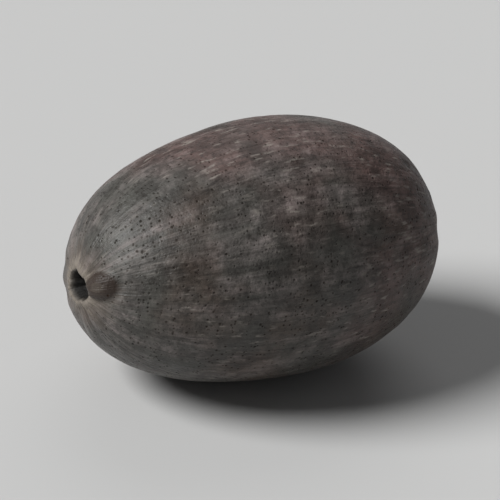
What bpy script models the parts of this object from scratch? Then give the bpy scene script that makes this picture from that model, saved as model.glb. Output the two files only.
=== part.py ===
"""Dried lotus seed: the ripe, hard-shelled nut of the sacred lotus, lying on its side.

The nut grew as one piece, so it is one solid. Its long axis runs along X, with the apex at -X
and the base at +X. It rests on a small flat spot at the origin's level, z = 0.
Lengths are in metres, +Z is up, and angles round the long axis start at the top, +Z, and turn
towards the front, -Y.
"""

import math

import bmesh
import bpy
from mathutils import Vector

MM = 0.001

# Driving dimensions
LENGTH = 16.6 * MM
THICKNESS = 10.85 * MM
EGG_SHARE = 0.04
# Roundness of the ends: 1 is an ellipse's, and less is blunter
APEX_FULLNESS = 0.85
BASE_FULLNESS = 0.81
NOSE_SPREAD = 1.3 * MM
APEX_NOSE = 0.1 * MM
BASE_NOSE = 0.05 * MM
# How far each end leans over: this fades out from the long axis, and is nothing at the waist
APEX_LEAN = Vector((0, -0.45, 0.1)) * MM
BASE_LEAN = Vector((0, 0.2, -0.15)) * MM
LEAN_SPREAD = 3.4 * MM
REST_DEPTH = 0.14 * MM

# The scar of the style at the apex: a pit with a stub in it and a low collar round it
PIT_RADIUS = 0.54 * MM
PIT_OVAL_SHARE = 0.12
PIT_WALL = 0.2 * MM
PIT_DEPTH = 0.75 * MM
STUB_RADIUS = 0.2 * MM
STUB_HEIGHT = 0.3 * MM
COLLAR_RADIUS = 0.78 * MM
COLLAR_WIDTH = 0.2 * MM
COLLAR_HEIGHT = 0.09 * MM

# The small swelling beside the pit
SWELLING_FROM_PIT = 1.45 * MM
SWELLING_ANGLE = math.radians(62)
SWELLING_HALF_LENGTH = 0.62 * MM
SWELLING_HALF_WIDTH = 0.46 * MM
SWELLING_HEIGHT = 0.3 * MM

# The scar of the stalk at the base: a shallow dish with a low boss in it
SCAR_RADIUS = 0.95 * MM
SCAR_WALL = 0.3 * MM
SCAR_DEPTH = 0.2 * MM
BOSS_RADIUS = 0.34 * MM
BOSS_HEIGHT = 0.14 * MM
SCAR_RIM_HEIGHT = 0.06 * MM

# Relief of the shell
OVAL_SHARE = 0.014
THREE_SIDED_SHARE = 0.007
FLUTE_HEIGHT = 0.009 * MM
FLUTES = ((9, 0.4, 0.9), (14, 2.1, -1.3), (17, 4.4, 0.7))
PUCKER_HEIGHT = 0.022 * MM
PUCKERS = ((9, 0.9), (13, 2.6))
PUCKER_FROM_POLE = 1.9 * MM
PUCKER_SPREAD = 0.8 * MM
# Shallow dents where the nut dried: station from -1, apex, to 1, base; angle; radius; depth
DENTS = (
    (0.45, math.radians(70), 3.4 * MM, 0.16 * MM),
    (-0.35, math.radians(-25), 3.0 * MM, 0.12 * MM),
    (0.7, math.radians(-80), 2.6 * MM, 0.15 * MM),
    (-0.15, math.radians(150), 3.2 * MM, 0.1 * MM),
)

# Fineness of the mesh
AROUND = 84
POLAR_STEP = math.radians(0.85)
POLAR_RINGS = 16
MIDDLE_RINGS = 34

SHELL_COLOUR = (0.079, 0.069, 0.062, 1)
SHELL_ROUGHNESS = 0.62


def smooth_step(value, low, high):
    """0 below low, 1 above high, and an even slope between them."""
    share = min(1, max(0, (value - low) / (high - low)))
    return share * share * (3 - 2 * share)


def hump(distance, spread):
    """A rounded hump of height 1 that fades out past its spread."""
    return math.exp(-((distance / spread) ** 2))


def egg_point(angle):
    """(x, radius) on the plain egg outline, at an angle from 0, the apex, to pi, the base."""
    station = -math.cos(angle)
    fullness = APEX_FULLNESS + (BASE_FULLNESS - APEX_FULLNESS) * (1 + station) / 2
    radius = THICKNESS / 2 * math.sin(angle) ** fullness * (1 + EGG_SHARE * station)
    return station * LENGTH / 2, radius


def ring_angles():
    """The outline's angles from apex to base, with rings close together round both poles."""
    polar = [n * POLAR_STEP for n in range(1, POLAR_RINGS + 1)]
    span = math.pi - 2 * polar[-1]
    middle = [polar[-1] + span * n / MIDDLE_RINGS for n in range(1, MIDDLE_RINGS)]
    return polar + middle + [math.pi - angle for angle in reversed(polar)]


def turned_egg():
    """The egg outline, spun about the X axis into a closed mesh."""
    mesh = bmesh.new()
    outline = [(-LENGTH / 2, 0)] + [egg_point(a) for a in ring_angles()] + [(LENGTH / 2, 0)]
    points = [mesh.verts.new((x, 0, radius)) for x, radius in outline]
    edges = [mesh.edges.new(pair) for pair in zip(points, points[1:])]
    bmesh.ops.spin(
        mesh,
        geom=points + edges,
        cent=(0, 0, 0),
        axis=(1, 0, 0),
        angle=2 * math.pi,
        steps=AROUND,
        use_merge=True,
    )
    bmesh.ops.remove_doubles(mesh, verts=mesh.verts, dist=0.001 * MM)
    bmesh.ops.recalc_face_normals(mesh, faces=mesh.faces)
    return mesh


def surface_point(station, turn):
    """The point of the plain egg at a station along it and a turn round it."""
    x, radius = egg_point(math.acos(-station))
    return Vector((x, -radius * math.sin(turn), radius * math.cos(turn)))


def apex_relief(point):
    """Height added round the apex: its nose, the pit with its stub and collar, and the swelling."""
    from_axis = math.hypot(point.y, point.z)
    oval = math.hypot(point.y * (1 - PIT_OVAL_SHARE), point.z * (1 + PIT_OVAL_SHARE))
    pit_edge = smooth_step(oval, PIT_RADIUS - PIT_WALL / 2, PIT_RADIUS + PIT_WALL / 2)
    height = APEX_NOSE * hump(from_axis, NOSE_SPREAD)
    height -= PIT_DEPTH * (1 - pit_edge)
    height += STUB_HEIGHT * hump(from_axis, STUB_RADIUS)
    height += COLLAR_HEIGHT * hump(oval - COLLAR_RADIUS, COLLAR_WIDTH)
    outward = Vector((-math.sin(SWELLING_ANGLE), math.cos(SWELLING_ANGLE)))
    place = Vector((point.y, point.z))
    along = place.dot(outward) - SWELLING_FROM_PIT
    across = place.cross(outward)
    reach = math.hypot(along / SWELLING_HALF_LENGTH, across / SWELLING_HALF_WIDTH)
    return height + SWELLING_HEIGHT * hump(reach**1.5, 1)


def base_relief(point):
    """Height added round the base: its nose, and the dish with its boss and rim."""
    from_axis = math.hypot(point.y, point.z)
    dish_edge = smooth_step(from_axis, SCAR_RADIUS - SCAR_WALL / 2, SCAR_RADIUS + SCAR_WALL / 2)
    height = BASE_NOSE * hump(from_axis, NOSE_SPREAD)
    height -= SCAR_DEPTH * (1 - dish_edge)
    height += BOSS_HEIGHT * hump(from_axis, BOSS_RADIUS)
    return height + SCAR_RIM_HEIGHT * hump(from_axis - SCAR_RADIUS - SCAR_WALL, SCAR_WALL)


def shell_relief(point):
    """Height added by the shell's uneven roundness, its dents, and its flutes and puckers."""
    station = point.x / (LENGTH / 2)
    turn = math.atan2(-point.y, point.z)
    from_axis = math.hypot(point.y, point.z)
    height = from_axis * OVAL_SHARE * math.cos(2 * turn - 0.7 + 0.5 * station)
    height += from_axis * THREE_SIDED_SHARE * math.cos(3 * turn + 1.1)
    for dent_station, dent_turn, radius, depth in DENTS:
        away = (point - surface_point(dent_station, dent_turn)).length
        height -= depth * hump(away, radius)
    off_pole = smooth_step(from_axis, 1.2 * MM, 4 * MM)
    for count, phase, twist in FLUTES:
        height += FLUTE_HEIGHT * off_pole * math.sin(count * turn + phase + twist * station)
    near_pole = hump(from_axis - PUCKER_FROM_POLE, PUCKER_SPREAD)
    for count, phase in PUCKERS:
        height += PUCKER_HEIGHT * near_pole * math.sin(count * turn + phase)
    return height


def shape_shell(mesh):
    """Raises the relief from the plain egg, along its normals, and leans both ends a little."""
    mesh.normal_update()
    moves = []
    for vertex in mesh.verts:
        point = vertex.co
        at_apex = point.x < 0
        height = shell_relief(point) + (apex_relief(point) if at_apex else base_relief(point))
        lean = hump(math.hypot(point.y, point.z), LEAN_SPREAD)
        lean *= smooth_step(abs(point.x), 0, LENGTH / 4)
        moves.append(vertex.normal * height + (APEX_LEAN if at_apex else BASE_LEAN) * lean)
    for vertex, move in zip(mesh.verts, moves):
        vertex.co += move


def cut_rest_spot(mesh):
    """Takes the underside off flat, so that the nut lies still, and closes it with one face."""
    level = min(vertex.co.z for vertex in mesh.verts) + REST_DEPTH
    cut = bmesh.ops.bisect_plane(
        mesh,
        geom=mesh.verts[:] + mesh.edges[:] + mesh.faces[:],
        plane_co=(0, 0, level),
        plane_no=(0, 0, -1),
        clear_outer=True,
    )
    rim = [edge for edge in cut["geom_cut"] if isinstance(edge, bmesh.types.BMEdge)]
    bmesh.ops.contextual_create(mesh, geom=rim)
    for edge in rim:
        for vertex in edge.verts:
            vertex.co.z = level
    bmesh.ops.recalc_face_normals(mesh, faces=mesh.faces)


def stand_on_origin(mesh):
    """Moves the nut so that the middle of its box is over the origin and its flat spot on z = 0."""
    low, high = (
        Vector([end(vertex.co[axis] for vertex in mesh.verts) for axis in range(3)])
        for end in (min, max)
    )
    middle = (low + high) / 2
    bmesh.ops.translate(mesh, verts=mesh.verts, vec=(-middle.x, -middle.y, -low.z))


def shell_material():
    material = bpy.data.materials.new("seed_shell")
    material.use_nodes = True
    shader = material.node_tree.nodes["Principled BSDF"]
    shader.inputs["Base Color"].default_value = SHELL_COLOUR
    shader.inputs["Roughness"].default_value = SHELL_ROUGHNESS
    shader.inputs["Metallic"].default_value = 0
    return material


def make_lotus_seed():
    mesh = turned_egg()
    shape_shell(mesh)
    cut_rest_spot(mesh)
    stand_on_origin(mesh)
    data = bpy.data.meshes.new("lotus_seed")
    mesh.to_mesh(data)
    mesh.free()
    data.shade_smooth()
    data.materials.append(shell_material())
    seed = bpy.data.objects.new("lotus_seed", data)
    bpy.context.scene.collection.objects.link(seed)


for thing in list(bpy.data.objects):
    bpy.data.objects.remove(thing)
make_lotus_seed()
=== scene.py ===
"""Looks of the dried lotus seed: its finely pitted shell, its scars and its bloom.

Lengths are in metres. The nut's long axis runs along X, with the apex at -X and the base at +X,
and angles round that axis start at the top, +Z, and turn towards the front, -Y.
"""

import math
from types import SimpleNamespace

import bpy
import numpy as np
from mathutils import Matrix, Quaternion, Vector


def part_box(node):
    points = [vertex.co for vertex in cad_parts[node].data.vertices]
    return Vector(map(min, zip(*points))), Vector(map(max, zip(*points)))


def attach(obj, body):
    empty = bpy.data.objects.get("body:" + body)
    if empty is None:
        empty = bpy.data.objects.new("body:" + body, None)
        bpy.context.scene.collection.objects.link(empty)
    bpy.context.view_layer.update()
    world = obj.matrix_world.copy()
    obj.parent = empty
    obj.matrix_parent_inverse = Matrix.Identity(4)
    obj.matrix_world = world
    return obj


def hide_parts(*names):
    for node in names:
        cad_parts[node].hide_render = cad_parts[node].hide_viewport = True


MM = 0.001

# The nut's form
LENGTH = 16.6 * MM
THICKNESS = 10.85 * MM
EGG_SHARE = 0.04
# Roundness of the ends: 1 is an ellipse's, and less is blunter
APEX_FULLNESS = 0.85
BASE_FULLNESS = 0.81
NOSE_SPREAD = 1.3 * MM
APEX_NOSE = 0.1 * MM
BASE_NOSE = 0.05 * MM
# How far each end leans over: this fades out from the long axis, and is nothing at the waist
APEX_LEAN = np.array((0, -0.45, 0.1)) * MM
BASE_LEAN = np.array((0, 0.2, -0.15)) * MM
LEAN_SPREAD = 3.4 * MM
LEAN_FADE = LENGTH / 4
REST_DEPTH = 0.14 * MM

# The scar of the style at the apex
PIT_RADIUS = 0.54 * MM
PIT_OVAL_SHARE = 0.12
PIT_WALL = 0.2 * MM
PIT_DEPTH = 0.75 * MM
STUB_RADIUS = 0.2 * MM
STUB_HEIGHT = 0.3 * MM
COLLAR_RADIUS = 0.78 * MM
COLLAR_WIDTH = 0.2 * MM
COLLAR_HEIGHT = 0.09 * MM

# The small swelling beside the pit
SWELLING_FROM_PIT = 1.45 * MM
SWELLING_ANGLE = math.radians(62)
SWELLING_HALF_LENGTH = 0.62 * MM
SWELLING_HALF_WIDTH = 0.46 * MM
SWELLING_HEIGHT = 0.3 * MM
SWELLING_STEEPNESS = 1.5

# The scar of the stalk at the base
SCAR_RADIUS = 0.95 * MM
SCAR_WALL = 0.3 * MM
SCAR_DEPTH = 0.2 * MM
BOSS_RADIUS = 0.34 * MM
BOSS_HEIGHT = 0.14 * MM
SCAR_RIM_HEIGHT = 0.06 * MM

# Broad relief of the shell
OVAL_SHARE = 0.014
OVAL_PHASE = -0.7
OVAL_TWIST = 0.5
THREE_SIDED_SHARE = 0.007
THREE_SIDED_PHASE = 1.1
# Flutes: count round the axis, phase, and twist along it. They fade in from the long axis.
FLUTES = ((9, 0.4, 0.9), (14, 2.1, -1.3), (17, 4.4, 0.7))
FLUTE_HEIGHT = 0.009 * MM
FLUTE_FADE = (1.2 * MM, 4 * MM)
# Puckers: count round the axis, and phase
PUCKERS = ((9, 0.9), (13, 2.6))
PUCKER_HEIGHT = 0.022 * MM
PUCKER_FROM_POLE = 1.9 * MM
PUCKER_SPREAD = 0.8 * MM
# Shallow dents: station from -1, apex, to 1, base; angle; radius; depth
DENTS = (
    (0.45, math.radians(70), 3.4 * MM, 0.16 * MM),
    (-0.35, math.radians(-25), 3.0 * MM, 0.12 * MM),
    (0.7, math.radians(-80), 2.6 * MM, 0.15 * MM),
    (-0.15, math.radians(150), 3.2 * MM, 0.1 * MM),
)

# Fine shape of the scars: waves in the pit's edge, folds round it, and the stalk scar's fibres.
# Each is (count round the axis, phase, height), and the pit's heights are shares of its radius.
PIT_WAVES = ((3, 0.6, 0.07), (7, 2.0, 0.035), (11, 4.1, 0.02))
COLLAR_FOLDS = ((19, 0.3, 0.016 * MM), (31, 1.9, 0.011 * MM))
COLLAR_FOLD_SPREAD = 0.35 * MM
SCAR_FIBRES = ((23, 1.2, 0.014 * MM), (37, 3.3, 0.01 * MM))
SCAR_FIBRE_SPREAD = 0.35 * MM
# The groove round the swelling, placed in shares of the way from its middle to its edge
SWELLING_GROOVE = 0.05 * MM
SWELLING_GROOVE_REACH = 1.45
SWELLING_GROOVE_WIDTH = 0.3
SCAR_GROOVE = 0.05 * MM
SCAR_GROOVE_RADIUS = 0.52 * MM
SCAR_GROOVE_WIDTH = 0.1 * MM
# Bundles in the stalk scar: each rises while the cosine round the axis goes up through a range
BUNDLE_COUNT = 9
BUNDLE_PHASE = 0.5
BUNDLE_RISE = (0.2, 0.9)
BUNDLE_HEIGHT = 0.035 * MM
BUNDLE_RADIUS = 0.74 * MM
BUNDLE_WIDTH = 0.1 * MM

# Fineness of the mesh
AROUND = 360
POLAR_STEP = math.radians(0.45)
POLAR_RINGS = 34
MIDDLE_RINGS = 196

# Values stored on the mesh: the millimetres that stand for the nut's other end, the width over
# which the shell sets in beside a scar, and the least distance that is divided by
OTHER_END = 99.0
SHELL_EDGE = 0.5 * MM
LEAST_DISTANCE = 1e-9

# Fine relief of the shell, as inputs of its Geometry Nodes tree
RELIEF = {
    "Length share": 0.6,
    "Warp": 0.3 * MM,
    "Dimple spacing": 1.2 * MM,
    "Dimple width share": 0.5,
    "Dimple depth": 0.05 * MM,
    "Pore spacing": 0.5 * MM,
    "Pore width share": 0.5,
    "Pore depth": 0.036 * MM,
    "Line count": 11.0,
    "Line run": 0.9,
    "Line height": 0.012 * MM,
    "Grain height": 0.012 * MM,
    "Random seed": 5.3,
}
# Its noise: features to the metre, and detail
WARP_NOISE = (1100.0, 2.0)
GRAIN_NOISE = (1900.0, 3.0)
GRAIN_ROUGHNESS = 0.6
LINE_DETAIL = 4.0
# Noise runs from 0 to 1, so less its middle, and doubled, it runs from -1 to 1
NOISE_MIDDLE = 0.5
NOISE_GAIN = 2.0
# How wide and how deep each hollow is: a draw that goes from low to high gives start to end
HOLLOW_WIDTHS = (0.0, 1.0, 0.45, 1.4)
HOLLOW_DEPTHS = (0.15, 1.0, 0.1, 1.0)

# Colours
GREY = (0.072, 0.071, 0.063, 1)
MAUVE = (0.114, 0.07, 0.062, 1)
# Brown, also drawn to the low side as painted shade
BROWN_AND_PAINTED_SHADE = (0.074, 0.049, 0.036, 1)
# Pale bloom, also laid on as painted light towards the top and the apex
BLOOM_AND_PAINTED_LIGHT = (0.28, 0.234, 0.226, 1)
FLECK = (0.3, 0.27, 0.24, 1)
DARK = (0.014, 0.011, 0.009, 1)
# Painted shade inside the pit
PIT_PAINTED_SHADE = (0.006, 0.005, 0.004, 1)
PALE_RING = (0.19, 0.165, 0.135, 1)
HALO = (0.125, 0.098, 0.078, 1)
# The swelling's brown, darkened with painted shade
SWELLING_BROWN_AND_SHADE = (0.026, 0.016, 0.011, 1)
SCAR_TAN = (0.27, 0.195, 0.13, 1)
SCAR_BROWN = (0.085, 0.053, 0.033, 1)
FLOOR = (0.56, 0.56, 0.555, 1)

# Noise in the coat's looks: features to the metre, detail, seed, and roughness
NOISES = {
    "cloud": (230, 3, 37.1, 0.5),
    "second_cloud": (300, 4, 9.9, 0.5),
    "mottle": (1000, 5, 5.0, 0.62),
    "grit": (4200, 3, 12.0, 0.65),
    "dust": (380, 6, 8.1, 0.58),
    "cork": (3000, 4, 15.0, 0.7),
    "grain": (6000, 3, 11.0, 0.6),
}
# Noise drawn out along the nut: count round it, run along it, seed, and detail
DRAWN_NOISES = {
    "rubbing": (9.0, 1.4, 2.0, 6.0),
    "fine_lines": (36.0, 3.0, 4.0, 3.0),
    "flecks": (26.0, 13.0, 6.0, 3.0),
    "fray": (16.0, 0.0, 8.0, 4.0),
    "fibres": (10.0, 0.0, 9.0, 5.0),
}
# Specks, which are looks only and no real shape: spacing, width share, and seed
SPECKS = (0.15 * MM, 0.4, 7.0)

# Where each look sets in, as low, high, start and end: a value that goes from low to high gives
# a share from start to end. From "halo" to "scar" the values are millimetres from a scar, and
# those of the painted light on the top and the apex are metres.
RAMPS = {
    "mauve side": (1.6, 2.4, 0, 1),
    "painted shade on low side": (0.34, 0.58, 0, 0.85),
    "mottle": (0.38, 0.62, 0, 1),
    "dark grit": (0.34, 0.5, 0.5, 0),
    "dust": (0.36, 0.66, 0, 1),
    "rubbing": (0.3, 0.66, 0, 1),
    "bloom on mottle": (0, 1, 0.3, 1),
    "bloom on grit": (0.38, 0.6, 0.45, 1),
    "painted light on top and apex": (-0.008, 0.0147, 0.38, 0.74),
    "streaks": (0.5, 0.66, 0, 1),
    "pale flecks": (0.56, 0.7, 0, 0.6),
    "flecks on cloud": (0.4, 0.6, 0.25, 1),
    "dark flecks": (0.3, 0.42, 0.5, 0),
    "specks": (0, 0.8, 0, 0.6),
    "swelling": (0.03, 0.3, 0, 0.92),
    "swelling tip": (0.85, 1, 0, 0.15),
    "fray": (0.3, 0.7, -0.3, 0.3),
    "ring on grit": (0.35, 0.55, 0.55, 1),
    "cork": (0.36, 0.64, 0, 1),
    "fibres": (0.5, 0.66, 0, 0.45),
    "halo": (1.4, 2.6, 0.5, 0),
    "ring": (0.8, 1.2, 0.8, 0),
    "pit": (0.56, 0.7, 1, 0),
    "groove": (0.03, 0.16, 0.75, 0),
    "scar edge": (1.1, 1.9, 0.6, 0),
    "scar": (0.9, 1.2, 0.9, 0),
    "roughness": (0.55, 1.05, 0.37, 0.66),
    "specks' roughness": (0, 0.4, 0, 0.9),
    "specks' shine": (0, 0.5, 0.38, 0.08),
}

# How the mauve side and the brown low side, which is painted shade, lie for each metre along an
# axis, and how much each layer counts
MAUVE_SLOPES = {"X": 62, "Z": 35, "Y": 45}
CLOUD_SHARE = 3.4
BROWN_SHADE_SLOPE = 22
MOTTLE_SHARE = 0.5
STREAK_SHARE = 0.35
DIMPLE_SHADE_SHARE = 0.35
PORE_SHADE_SHARE = 0.6
SCAR_FRAY_SHARE = 0.5
ROUGH_GRIT_SHARE = 0.6
SHEEN_WEIGHT = 0.05
SHEEN_ROUGHNESS = 0.28
LINE_BUMP_SHARE = 0.8
SPECK_BUMP_SHARE = 0.9
BUMP_STRENGTH = 1.0
BUMP_DISTANCE = 0.035 * MM

# Floor
FLOOR_HALF_WIDTH = 3.0
FLOOR_ROUGHNESS = 0.7

# Camera and light
CAMERA_AZIMUTH = math.radians(-36)
CAMERA_ELEVATION = math.radians(30)
CAMERA_ROLL = math.radians(10)
CAMERA_LENS = 250
CAMERA_CLIP = (0.005, 5)
PICTURE_WIDTH = 20.5 * MM
WORLD_COLOUR = (0.97, 0.98, 1, 1)
WORLD_STRENGTH = 0.1
# Suns: azimuth and height above level in degrees, strength, and width in degrees
SUNS = {"key_light": (-101, 41, 4.1, 26), "back_light": (150, 45, 0.4, 50)}


def smooth_step(value, low, high):
    """0 below low, 1 above high, and an even slope between them."""
    share = np.clip((value - low) / (high - low), 0, 1)
    return share * share * (3 - 2 * share)


def hump(distance, spread):
    """A rounded hump of height 1 that fades out past its spread."""
    return np.exp(-((distance / spread) ** 2))


def waves(turn, terms):
    """The sum of waves round the axis, each (count, phase, height)."""
    return sum(height * np.sin(count * turn + phase) for count, phase, height in terms)


def egg_outline(angles):
    """Stations and radii on the plain egg outline, at angles from 0, the apex, to pi, the base."""
    stations = -np.cos(angles)
    fullness = APEX_FULLNESS + (BASE_FULLNESS - APEX_FULLNESS) * (1 + stations) / 2
    radii = THICKNESS / 2 * np.sin(angles) ** fullness * (1 + EGG_SHARE * stations)
    return stations, radii


def ring_angles():
    """The outline's angles from apex to base, with rings close together round both poles."""
    polar = POLAR_STEP * np.arange(1, POLAR_RINGS + 1)
    middle = np.linspace(polar[-1], math.pi - polar[-1], MIDDLE_RINGS)[1:-1]
    return np.concatenate([polar, middle, math.pi - polar[::-1]])


def plain_egg():
    """The turned egg as a closed mesh of quads, with a fan of triangles at each pole."""
    stations, radii = egg_outline(ring_angles())
    turns = np.arange(AROUND) * (2 * math.pi / AROUND)
    rings = np.empty((len(stations), AROUND, 3))
    rings[..., 0] = stations[:, None] * LENGTH / 2
    rings[..., 1] = -radii[:, None] * np.sin(turns)
    rings[..., 2] = radii[:, None] * np.cos(turns)
    apex, base = (-LENGTH / 2, 0, 0), (LENGTH / 2, 0, 0)
    points = np.concatenate([rings.reshape(-1, 3), [apex, base]])
    faces = []
    for ring in range(len(stations) - 1):
        for step in range(AROUND):
            here = ring * AROUND + step
            beside = ring * AROUND + (step + 1) % AROUND
            faces.append((here, beside, beside + AROUND, here + AROUND))
    last = (len(stations) - 1) * AROUND
    for step in range(AROUND):
        beside = (step + 1) % AROUND
        faces.append((len(points) - 2, beside, step))
        faces.append((len(points) - 1, last + step, last + beside))
    mesh = bpy.data.meshes.new("lotus_seed_shell")
    mesh.from_pydata(points.tolist(), [], faces)
    return mesh


def surface_point(station, turn):
    """The point of the plain egg at a station along it and a turn round it."""
    _, radius = egg_outline(np.arccos(-np.float64(station)))
    return np.array((station * LENGTH / 2, -radius * math.sin(turn), radius * math.cos(turn)))


def pit_distance(y, z):
    """Distance from the middle of the pit, in which its uneven oval edge is at PIT_RADIUS."""
    oval = np.hypot(y * (1 - PIT_OVAL_SHARE), z * (1 + PIT_OVAL_SHARE))
    return oval * (1 + waves(np.arctan2(-y, z), PIT_WAVES))


def swelling_reach(y, z):
    """0 in the middle of the small swelling beside the pit, 1 about its edge."""
    out_y, out_z = -math.sin(SWELLING_ANGLE), math.cos(SWELLING_ANGLE)
    along = y * out_y + z * out_z - SWELLING_FROM_PIT
    across = y * out_z - z * out_y
    return np.hypot(along / SWELLING_HALF_LENGTH, across / SWELLING_HALF_WIDTH)


def swelling_hump(reach):
    """The swelling's own outline: 1 in its middle, and nothing well past its edge."""
    return hump(reach**SWELLING_STEEPNESS, 1)


def apex_relief(y, z):
    """Height added round the apex: its nose, the pit with stub, collar and folds, the swelling."""
    from_axis = np.hypot(y, z)
    turn = np.arctan2(-y, z)
    from_pit = pit_distance(y, z)
    pit_edge = smooth_step(from_pit, PIT_RADIUS - PIT_WALL / 2, PIT_RADIUS + PIT_WALL / 2)
    height = APEX_NOSE * hump(from_axis, NOSE_SPREAD)
    height -= PIT_DEPTH * (1 - pit_edge)
    height += STUB_HEIGHT * hump(from_axis, STUB_RADIUS)
    height += COLLAR_HEIGHT * hump(from_pit - COLLAR_RADIUS, COLLAR_WIDTH)
    folds = hump(from_axis - COLLAR_RADIUS - COLLAR_WIDTH, COLLAR_FOLD_SPREAD) * pit_edge
    height += waves(turn, COLLAR_FOLDS) * folds
    reach = swelling_reach(y, z)
    height -= SWELLING_GROOVE * hump(reach - SWELLING_GROOVE_REACH, SWELLING_GROOVE_WIDTH)
    return height + SWELLING_HEIGHT * swelling_hump(reach)


def base_relief(y, z):
    """Height added round the base: its nose, and the dish with boss, groove, bundles and rim."""
    from_axis = np.hypot(y, z)
    turn = np.arctan2(-y, z)
    dish_edge = smooth_step(from_axis, SCAR_RADIUS - SCAR_WALL / 2, SCAR_RADIUS + SCAR_WALL / 2)
    height = BASE_NOSE * hump(from_axis, NOSE_SPREAD)
    height -= SCAR_DEPTH * (1 - dish_edge)
    height += BOSS_HEIGHT * hump(from_axis, BOSS_RADIUS)
    height -= SCAR_GROOVE * hump(from_axis - SCAR_GROOVE_RADIUS, SCAR_GROOVE_WIDTH)
    bundles = hump(from_axis - BUNDLE_RADIUS, BUNDLE_WIDTH)
    bundles *= smooth_step(np.cos(BUNDLE_COUNT * turn + BUNDLE_PHASE), *BUNDLE_RISE)
    height += BUNDLE_HEIGHT * bundles
    height += waves(turn, SCAR_FIBRES) * hump(from_axis - SCAR_RADIUS, SCAR_FIBRE_SPREAD)
    return height + SCAR_RIM_HEIGHT * hump(from_axis - SCAR_RADIUS - SCAR_WALL, SCAR_WALL)


def shell_relief(points):
    """Height added by the shell's uneven roundness, its dents, and its flutes and puckers."""
    x, y, z = points.T
    station = x / (LENGTH / 2)
    turn = np.arctan2(-y, z)
    from_axis = np.hypot(y, z)
    height = from_axis * OVAL_SHARE * np.cos(2 * turn + OVAL_PHASE + OVAL_TWIST * station)
    height += from_axis * THREE_SIDED_SHARE * np.cos(3 * turn + THREE_SIDED_PHASE)
    for dent_station, dent_turn, radius, depth in DENTS:
        away = np.linalg.norm(points - surface_point(dent_station, dent_turn), axis=1)
        height -= depth * hump(away, radius)
    off_pole = smooth_step(from_axis, *FLUTE_FADE)
    for count, phase, twist in FLUTES:
        height += FLUTE_HEIGHT * off_pole * np.sin(count * turn + phase + twist * station)
    near_pole = hump(from_axis - PUCKER_FROM_POLE, PUCKER_SPREAD)
    for count, phase in PUCKERS:
        height += PUCKER_HEIGHT * near_pole * np.sin(count * turn + phase)
    return height


def read_points(mesh):
    """The mesh's points, one to a row."""
    points = np.empty(len(mesh.vertices) * 3)
    mesh.vertices.foreach_get("co", points)
    return points.reshape(-1, 3)


def write_points(mesh, points):
    """Moves the mesh's points to these places."""
    mesh.vertices.foreach_set("co", points.reshape(-1))
    mesh.update()


def keep_attribute(mesh, name, values):
    """Stores one number, or one vector, for each point of the mesh."""
    kind, field = ("FLOAT", "value") if values.ndim == 1 else ("FLOAT_VECTOR", "vector")
    attribute = mesh.attributes.new(name, kind, "POINT")
    attribute.data.foreach_set(field, values.reshape(-1))


def shape_shell(mesh):
    """Raises the broad relief, leans the ends, and stores where the scars and the shell are."""
    points = read_points(mesh)
    normals = np.empty(len(points) * 3)
    mesh.vertex_normals.foreach_get("vector", normals)
    x, y, z = points.T
    at_apex = x < 0
    from_axis = np.hypot(y, z)
    height = shell_relief(points) + np.where(at_apex, apex_relief(y, z), base_relief(y, z))
    lean = hump(from_axis, LEAN_SPREAD) * smooth_step(np.abs(x), 0, LEAN_FADE)
    leans = np.where(at_apex[:, None], APEX_LEAN, BASE_LEAN) * lean[:, None]
    write_points(mesh, points + normals.reshape(-1, 3) * height[:, None] + leans)

    outward = points[:, 1:] / np.maximum(from_axis, LEAST_DISTANCE)[:, None]
    swelling = swelling_hump(swelling_reach(y, z))
    scar_edge = np.where(at_apex, COLLAR_RADIUS + COLLAR_WIDTH, SCAR_RADIUS + 2 * SCAR_WALL)
    keep_attribute(mesh, "around", np.column_stack([outward, x / (LENGTH / 2)]))
    keep_attribute(mesh, "mm_from_apex", np.where(at_apex, pit_distance(y, z) / MM, OTHER_END))
    keep_attribute(mesh, "mm_from_base", np.where(at_apex, OTHER_END, from_axis / MM))
    keep_attribute(mesh, "swelling", np.where(at_apex, swelling, 0))
    keep_attribute(mesh, "shell", smooth_step(from_axis, scar_edge, scar_edge + SHELL_EDGE))


def lay_on_rest_spot(mesh):
    """Flattens the underside to its rest spot, and stands the nut on the origin's level."""
    points = read_points(mesh)
    level = points[:, 2].min() + REST_DEPTH
    points[:, 2] = np.maximum(points[:, 2], level)
    middle = (points.min(0) + points.max(0)) / 2
    points -= (middle[0], middle[1], level)
    write_points(mesh, points)


def give(tree, socket, value):
    """Links another node's output to a socket, or sets the socket to a plain value."""
    if isinstance(value, bpy.types.NodeSocket):
        tree.links.new(value, socket)
    else:
        socket.default_value = value


def add(tree, kind, inputs=None, **settings):
    """A new node, with its settings made and its inputs set or linked."""
    node = tree.nodes.new(kind)
    for name, value in settings.items():
        setattr(node, name, value)
    for key, value in (inputs or {}).items():
        give(tree, node.inputs[key], value)
    return node


def figure(tree, operation, *values):
    """The result of a Math node."""
    return add(tree, "ShaderNodeMath", dict(enumerate(values)), operation=operation).outputs[0]


def plus(tree, first, second):
    return figure(tree, "ADD", first, second)


def minus(tree, first, second):
    return figure(tree, "SUBTRACT", first, second)


def times(tree, first, second):
    return figure(tree, "MULTIPLY", first, second)


def ramp(tree, value, low, high, start, end):
    """A value carried smoothly from start, at low, to end, at high."""
    inputs = {"Value": value, "From Min": low, "From Max": high, "To Min": start, "To Max": end}
    node = add(tree, "ShaderNodeMapRange", inputs, interpolation_type="SMOOTHSTEP")
    return node.outputs["Result"]


def eased(tree, value, name):
    """A value carried over one of the RAMPS."""
    return ramp(tree, value, *RAMPS[name])


def soft_noise(tree, place, scale, detail, seed, roughness=0.5, output=0):
    """Cloudy noise: scale is in features to the metre, and roughness weighs its fine detail.

    Output 0 is one figure, and "Color" is three.
    """
    inputs = {
        "Vector": place,
        "W": seed,
        "Scale": scale,
        "Detail": detail,
        "Roughness": roughness,
    }
    return add(tree, "ShaderNodeTexNoise", inputs, noise_dimensions="4D").outputs[output]


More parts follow.
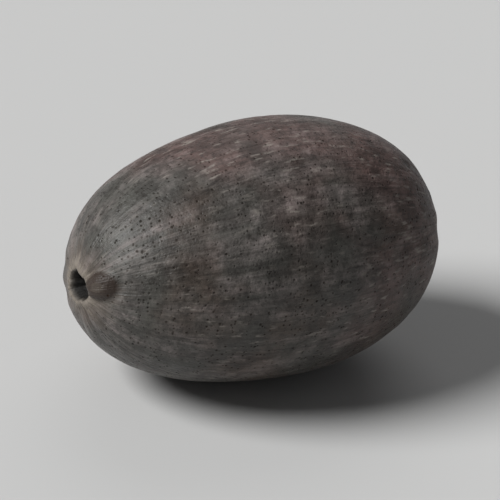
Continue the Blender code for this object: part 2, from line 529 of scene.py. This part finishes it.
def line_noise(tree, around, count, run, seed, detail):
    """Noise drawn out along the shell: count sets how narrow it is, and run how short."""
    parts = add(tree, "ShaderNodeSeparateXYZ", {"Vector": around}).outputs
    scales = {"X": count, "Y": count, "Z": run}
    inputs = {axis: times(tree, parts[axis], scale) for axis, scale in scales.items()}
    place = add(tree, "ShaderNodeCombineXYZ", inputs).outputs[0]
    return soft_noise(tree, place, 1.0, detail, seed)


def scale_vector(tree, vector, factor):
    node = add(tree, "ShaderNodeVectorMath", {0: vector, "Scale": factor}, operation="SCALE")
    return node.outputs[0]


def combine_vectors(tree, operation, first, second):
    node = add(tree, "ShaderNodeVectorMath", {0: first, 1: second}, operation=operation)
    return node.outputs[0]


def warped_place(tree, place, amount, length_share, seed):
    """Places pushed about by soft noise and drawn together along the shell."""
    noise = soft_noise(tree, place, *WARP_NOISE, seed, output="Color")
    push = combine_vectors(tree, "SUBTRACT", noise, (NOISE_MIDDLE,) * 3)
    pushed = combine_vectors(tree, "ADD", place, scale_vector(tree, push, amount))
    shares = add(tree, "ShaderNodeCombineXYZ", {"X": length_share, "Y": 1.0, "Z": 1.0})
    return combine_vectors(tree, "MULTIPLY", pushed, shares.outputs[0])


def hollows(tree, place, spacing, width_share, seed):
    """Scattered hollows of uneven width and depth: 1 in their middle, 0 between them."""
    scaled = scale_vector(tree, place, figure(tree, "DIVIDE", 1.0, spacing))
    shift = add(tree, "ShaderNodeCombineXYZ", {"X": seed, "Y": seed, "Z": seed})
    shifted = combine_vectors(tree, "ADD", scaled, shift.outputs[0])
    inputs = {"Vector": shifted, "Scale": 1.0, "Randomness": 1.0}
    cells = add(tree, "ShaderNodeTexVoronoi", inputs)
    draws = add(tree, "ShaderNodeSeparateXYZ", {"Vector": cells.outputs["Color"]}).outputs
    edge = times(tree, width_share, ramp(tree, draws["X"], *HOLLOW_WIDTHS))
    near = ramp(tree, cells.outputs["Distance"], 0.0, edge, 1.0, 0.0)
    return times(tree, near, ramp(tree, draws["Y"], *HOLLOW_DEPTHS))


def add_sockets(tree):
    """The relief tree's inputs, with the relief's own values, and its output."""
    new = tree.interface.new_socket
    new(name="Geometry", in_out="INPUT", socket_type="NodeSocketGeometry")
    for name, value in RELIEF.items():
        socket = new(name=name, in_out="INPUT", socket_type="NodeSocketFloat")
        socket.default_value = value
    new(name="Shell", in_out="INPUT", socket_type="NodeSocketMaterial")
    new(name="Geometry", in_out="OUTPUT", socket_type="NodeSocketGeometry")


def mesh_attribute(tree, name, kind):
    """A value stored on the mesh, in Geometry Nodes."""
    node = add(tree, "GeometryNodeInputNamedAttribute", {"Name": name}, data_type=kind)
    return node.outputs[0]


def rise_and_fall(tree, given, place, dimple, pore):
    """How far the shell's fine lines and grain stand out, less the depth of its hollows."""
    around = mesh_attribute(tree, "around", "FLOAT_VECTOR")
    seed = given["Random seed"]
    lines = line_noise(tree, around, given["Line count"], given["Line run"], seed, LINE_DETAIL)
    grain = soft_noise(tree, place, *GRAIN_NOISE, seed, GRAIN_ROUGHNESS)
    lines = times(tree, minus(tree, lines, NOISE_MIDDLE), given["Line height"])
    grain = times(tree, minus(tree, grain, NOISE_MIDDLE), given["Grain height"])
    rise = times(tree, plus(tree, lines, grain), NOISE_GAIN)
    fall = times(tree, dimple, given["Dimple depth"])
    fall = plus(tree, fall, times(tree, pore, given["Pore depth"]))
    return minus(tree, rise, fall)


def relief_tree():
    """Geometry Nodes that press dimples and pores into the shell and raise its fine lines."""
    tree = bpy.data.node_groups.new("shell_relief", "GeometryNodeTree")
    tree.is_modifier = True
    add_sockets(tree)
    given = tree.nodes.new("NodeGroupInput").outputs
    place = tree.nodes.new("GeometryNodeInputPosition").outputs[0]
    normal = tree.nodes.new("GeometryNodeInputNormal").outputs[0]
    on_shell = mesh_attribute(tree, "shell", "FLOAT")

    seed = given["Random seed"]
    warped = warped_place(tree, place, given["Warp"], given["Length share"], seed)
    dimple = hollows(tree, warped, given["Dimple spacing"], given["Dimple width share"], seed)
    pore = hollows(tree, warped, given["Pore spacing"], given["Pore width share"], seed)
    height = times(tree, rise_and_fall(tree, given, place, dimple, pore), on_shell)
    inputs = {"Geometry": given["Geometry"], "Offset": scale_vector(tree, normal, height)}
    geometry = add(tree, "GeometryNodeSetPosition", inputs).outputs[0]

    for name, value in (("dimple", dimple), ("pore", pore)):
        inputs = {"Geometry": geometry, "Name": name, "Value": times(tree, value, on_shell)}
        node = add(tree, "GeometryNodeStoreNamedAttribute", inputs, data_type="FLOAT")
        geometry = node.outputs[0]
    real = add(tree, "GeometryNodeRealizeInstances", {"Geometry": geometry}).outputs[0]
    inputs = {"Geometry": real, "Material": given["Shell"]}
    faced = add(tree, "GeometryNodeSetMaterial", inputs).outputs[0]
    add(tree, "NodeGroupOutput", {"Geometry": faced})
    return tree


def new_object(name, data):
    """A new object, linked to the scene."""
    thing = bpy.data.objects.new(name, data)
    bpy.context.scene.collection.objects.link(thing)
    return thing


def with_relief(mesh, material):
    """The mesh after the relief tree has worked on it, as a plain mesh."""
    holder = new_object("relief_holder", mesh)
    modifier = holder.modifiers.new("shell_relief", "NODES")
    modifier.node_group = relief_tree()
    values = {**RELIEF, "Shell": material}
    for item in modifier.node_group.interface.items_tree:
        if item.in_out == "INPUT" and item.name in values:
            modifier[item.identifier] = values[item.name]
    seen = holder.evaluated_get(bpy.context.evaluated_depsgraph_get())
    made = bpy.data.meshes.new_from_object(seen)
    bpy.data.objects.remove(holder)
    return made


def new_material(name):
    """A new material, and its shader."""
    material = bpy.data.materials.new(name)
    material.use_nodes = True
    return material, material.node_tree.nodes["Principled BSDF"]


def colour_mix(tree, share, first, second):
    """The first colour where the share is 0, the second where it is 1, and between them a mix."""
    node = add(tree, "ShaderNodeMix", data_type="RGBA")
    sockets = {socket.name: socket for socket in node.inputs if socket.enabled}
    for name, value in (("Factor", share), ("A", first), ("B", second)):
        give(tree, sockets[name], value)
    return next(socket for socket in node.outputs if socket.enabled)


def coat_values(tree):
    """What the coat's looks are made of: place, distance from the scars, hollows and noise."""
    place = tree.nodes.new("ShaderNodeTexCoord").outputs["Object"]

    def kept(name, output="Fac"):
        return add(tree, "ShaderNodeAttribute", attribute_name=name).outputs[output]

    around = kept("around", "Vector")
    coat = SimpleNamespace(
        parts=add(tree, "ShaderNodeSeparateXYZ", {"Vector": place}).outputs,
        from_apex=kept("mm_from_apex"),
        from_base=kept("mm_from_base"),
        swelling=kept("swelling"),
        dimple=kept("dimple"),
        pore=kept("pore"),
        on_shell=kept("shell"),
        **{name: soft_noise(tree, place, *noise) for name, noise in NOISES.items()},
        **{name: line_noise(tree, around, *noise) for name, noise in DRAWN_NOISES.items()},
    )
    coat.mottle = eased(tree, coat.mottle, "mottle")
    coat.fray = eased(tree, coat.fray, "fray")
    coat.speck = times(tree, hollows(tree, place, *SPECKS), coat.on_shell)
    return coat


def shell_patches(tree, coat):
    """Plain shell: grey and mauve patches, brown drawn low as painted shade, coarse and fine dark
    mottling.
    """
    along, up, across = (
        times(tree, coat.parts[axis], slope) for axis, slope in MAUVE_SLOPES.items()
    )
    slope = plus(tree, plus(tree, along, up), across)
    mauve_side = plus(tree, times(tree, coat.cloud, CLOUD_SHARE), slope)
    colour = colour_mix(tree, eased(tree, mauve_side, "mauve side"), GREY, MAUVE)
    # Painted shade: the brown is drawn towards the low side, which darkens the underside.
    shaded_low_side = minus(tree, coat.second_cloud, times(tree, coat.parts["Z"], BROWN_SHADE_SLOPE))
    colour = colour_mix(tree, eased(tree, shaded_low_side, "painted shade on low side"), colour, BROWN_AND_PAINTED_SHADE)
    bare = times(tree, minus(tree, 1.0, coat.mottle), MOTTLE_SHARE)
    colour = colour_mix(tree, bare, colour, DARK)
    return colour_mix(tree, eased(tree, coat.grit, "dark grit"), colour, DARK)


def add_bloom_and_painted_light(tree, coat, colour):
    """Bloom, thicker in patches and rubbed off in lines, with painted light paling the top and the
    apex.
    """
    bloom_and_light = times(tree, eased(tree, coat.dust, "dust"), eased(tree, coat.rubbing, "rubbing"))
    bloom_and_light = times(tree, bloom_and_light, eased(tree, coat.mottle, "bloom on mottle"))
    bloom_and_light = times(tree, bloom_and_light, eased(tree, coat.grit, "bloom on grit"))
    # Painted light: the bloom grows paler towards the top and the apex, where the key light falls.
    lit_top_and_apex = minus(tree, coat.parts["Z"], coat.parts["X"])
    bloom_and_light = times(tree, bloom_and_light, eased(tree, lit_top_and_apex, "painted light on top and apex"))
    return colour_mix(tree, bloom_and_light, colour, BLOOM_AND_PAINTED_LIGHT)


def add_lines(tree, coat, colour):
    """Fine dark lines, and pale and dark flecks, that run along the nut."""
    streaks = times(tree, eased(tree, coat.fine_lines, "streaks"), STREAK_SHARE)
    colour = colour_mix(tree, times(tree, streaks, coat.on_shell), colour, DARK)
    pale = times(tree, eased(tree, coat.flecks, "pale flecks"), coat.on_shell)
    pale = times(tree, pale, eased(tree, coat.cloud, "flecks on cloud"))
    colour = colour_mix(tree, pale, colour, FLECK)
    return colour_mix(tree, eased(tree, coat.flecks, "dark flecks"), colour, DARK)


def add_hollows(tree, coat, colour):
    """Dark specks, and painted shade in the dimples and the pores."""
    colour = colour_mix(tree, eased(tree, coat.speck, "specks"), colour, DARK)
    # Painted shade: the dimples and the pores, real hollows in the mesh, are darkened in colour.
    colour = colour_mix(tree, times(tree, coat.dimple, DIMPLE_SHADE_SHARE), colour, DARK)
    return colour_mix(tree, times(tree, coat.pore, PORE_SHADE_SHARE), colour, DARK)


def add_apex(tree, coat, colour):
    """The apex: frayed halo and pale ring, the swelling with its tip, and the pit, both with
    painted shade.
    """
    halo = plus(tree, coat.from_apex, plus(tree, coat.second_cloud, coat.fray))
    colour = colour_mix(tree, eased(tree, halo, "halo"), colour, HALO)
    ring = eased(tree, plus(tree, coat.from_apex, coat.fray), "ring")
    ring = times(tree, ring, eased(tree, coat.grit, "ring on grit"))
    colour = colour_mix(tree, ring, colour, PALE_RING)
    # Painted shade: the swelling's brown is darkened nearly to black.
    colour = colour_mix(tree, eased(tree, coat.swelling, "swelling"), colour, SWELLING_BROWN_AND_SHADE)
    colour = colour_mix(tree, eased(tree, coat.swelling, "swelling tip"), colour, PALE_RING)
    # Painted shade: the inside of the pit is painted nearly black.
    return colour_mix(tree, eased(tree, coat.from_apex, "pit"), colour, PIT_PAINTED_SHADE)


def add_base(tree, coat, colour):
    """The stalk scar: a mottled dish with dark fibres and groove, and a frayed brown edge."""
    dish = colour_mix(tree, eased(tree, coat.cork, "cork"), SCAR_BROWN, SCAR_TAN)
    dish = colour_mix(tree, eased(tree, coat.fibres, "fibres"), dish, DARK)
    off_groove = minus(tree, coat.from_base, SCAR_GROOVE_RADIUS / MM)
    off_groove = figure(tree, "ABSOLUTE", off_groove)
    dish = colour_mix(tree, eased(tree, off_groove, "groove"), dish, DARK)
    edge = plus(tree, coat.from_base, times(tree, coat.fray, SCAR_FRAY_SHARE))
    colour = colour_mix(tree, eased(tree, edge, "scar edge"), colour, SCAR_BROWN)
    return colour_mix(tree, eased(tree, edge, "scar"), colour, dish)


def finish_surface(tree, coat, shader):
    """Roughness, shine, sheen and the finest bumps. The dark specks are dull."""
    rough = plus(tree, coat.dust, times(tree, coat.grit, ROUGH_GRIT_SHARE))
    rough = eased(tree, rough, "roughness")
    rough = figure(tree, "MAXIMUM", rough, eased(tree, coat.speck, "specks' roughness"))
    shine = eased(tree, coat.speck, "specks' shine")
    height = plus(tree, coat.grain, times(tree, coat.fine_lines, LINE_BUMP_SHARE))
    height = minus(tree, height, times(tree, coat.speck, SPECK_BUMP_SHARE))
    inputs = {"Height": height, "Strength": BUMP_STRENGTH, "Distance": BUMP_DISTANCE}
    bump = add(tree, "ShaderNodeBump", inputs).outputs["Normal"]
    give(tree, shader.inputs["Roughness"], rough)
    give(tree, shader.inputs["Specular IOR Level"], shine)
    give(tree, shader.inputs["Normal"], bump)
    shader.inputs["Sheen Weight"].default_value = SHEEN_WEIGHT
    shader.inputs["Sheen Roughness"].default_value = SHEEN_ROUGHNESS


def shell_material():
    """The nut's coat, made of noise and of the values that are stored on the mesh."""
    material, shader = new_material("lotus_shell")
    tree = material.node_tree
    coat = coat_values(tree)
    colour = shell_patches(tree, coat)
    for layer in (add_bloom_and_painted_light, add_lines, add_hollows, add_apex, add_base):
        colour = layer(tree, coat, colour)
    give(tree, shader.inputs["Base Color"], colour)
    finish_surface(tree, coat, shader)
    return material


def make_seed():
    """The dressed nut, in place of the plain one."""
    mesh = plain_egg()
    shape_shell(mesh)
    mesh = with_relief(mesh, shell_material())
    lay_on_rest_spot(mesh)
    mesh.shade_smooth()
    seed = new_object("lotus_seed_coat", mesh)
    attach(seed, "root")
    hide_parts("lotus_seed")


def make_floor():
    """A wide, pale, plain floor."""
    mesh = bpy.data.meshes.new("floor")
    half = FLOOR_HALF_WIDTH
    points = [(-half, -half, 0), (half, -half, 0), (half, half, 0), (-half, half, 0)]
    mesh.from_pydata(points, [], [(0, 1, 2, 3)])
    material, shader = new_material("floor")
    shader.inputs["Base Color"].default_value = FLOOR
    shader.inputs["Roughness"].default_value = FLOOR_ROUGHNESS
    mesh.materials.append(material)
    floor = new_object("floor", mesh)


def direction(azimuth, elevation):
    """The way out from the nut at an azimuth, 0 towards the front, and a height above level."""
    level = math.cos(elevation)
    return Vector((math.sin(azimuth) * level, -math.cos(azimuth) * level, math.sin(elevation)))


def face(thing, way, roll=0.0):
    """Turns a camera or a light that lies this way out from the nut to look back at it."""
    thing.rotation_mode = "QUATERNION"
    thing.rotation_quaternion = way.to_track_quat("Z", "Y") @ Quaternion((0, 0, 1), roll)


def make_sun(name, azimuth, elevation, strength, width):
    """A sun, with its angles in degrees."""
    light = bpy.data.lights.new(name, "SUN")
    light.energy = strength
    light.angle = math.radians(width)
    face(new_object(name, light), direction(math.radians(azimuth), math.radians(elevation)))


def make_light():
    """A wide key light from the apex side, a weak one behind, and a faint even sky."""
    world = bpy.data.worlds.new("studio")
    world.use_nodes = True
    sky = world.node_tree.nodes["Background"].inputs
    sky["Color"].default_value = WORLD_COLOUR
    sky["Strength"].default_value = WORLD_STRENGTH
    bpy.context.scene.world = world
    for name, values in SUNS.items():
        make_sun(name, *values)


def make_camera():
    """A long lens that frames the nut, rolled so that the nut seems to lie tilted."""
    low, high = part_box("lotus_seed")
    data = bpy.data.cameras.new("camera")
    data.lens = CAMERA_LENS
    data.clip_start, data.clip_end = CAMERA_CLIP
    camera = new_object("camera", data)
    way = direction(CAMERA_AZIMUTH, CAMERA_ELEVATION)
    distance = PICTURE_WIDTH * CAMERA_LENS / data.sensor_width
    camera.location = (Vector(low) + Vector(high)) / 2 + way * distance
    face(camera, way, CAMERA_ROLL)
    bpy.context.scene.camera = camera


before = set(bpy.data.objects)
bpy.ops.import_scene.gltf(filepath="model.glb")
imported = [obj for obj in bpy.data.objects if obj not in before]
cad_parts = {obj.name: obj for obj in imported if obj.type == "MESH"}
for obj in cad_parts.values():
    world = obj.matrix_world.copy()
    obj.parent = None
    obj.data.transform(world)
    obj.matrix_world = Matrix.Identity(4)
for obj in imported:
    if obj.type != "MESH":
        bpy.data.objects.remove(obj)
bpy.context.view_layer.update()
make_camera()
make_light()
make_floor()
make_seed()
bpy.context.scene.view_settings.view_transform = "Standard"
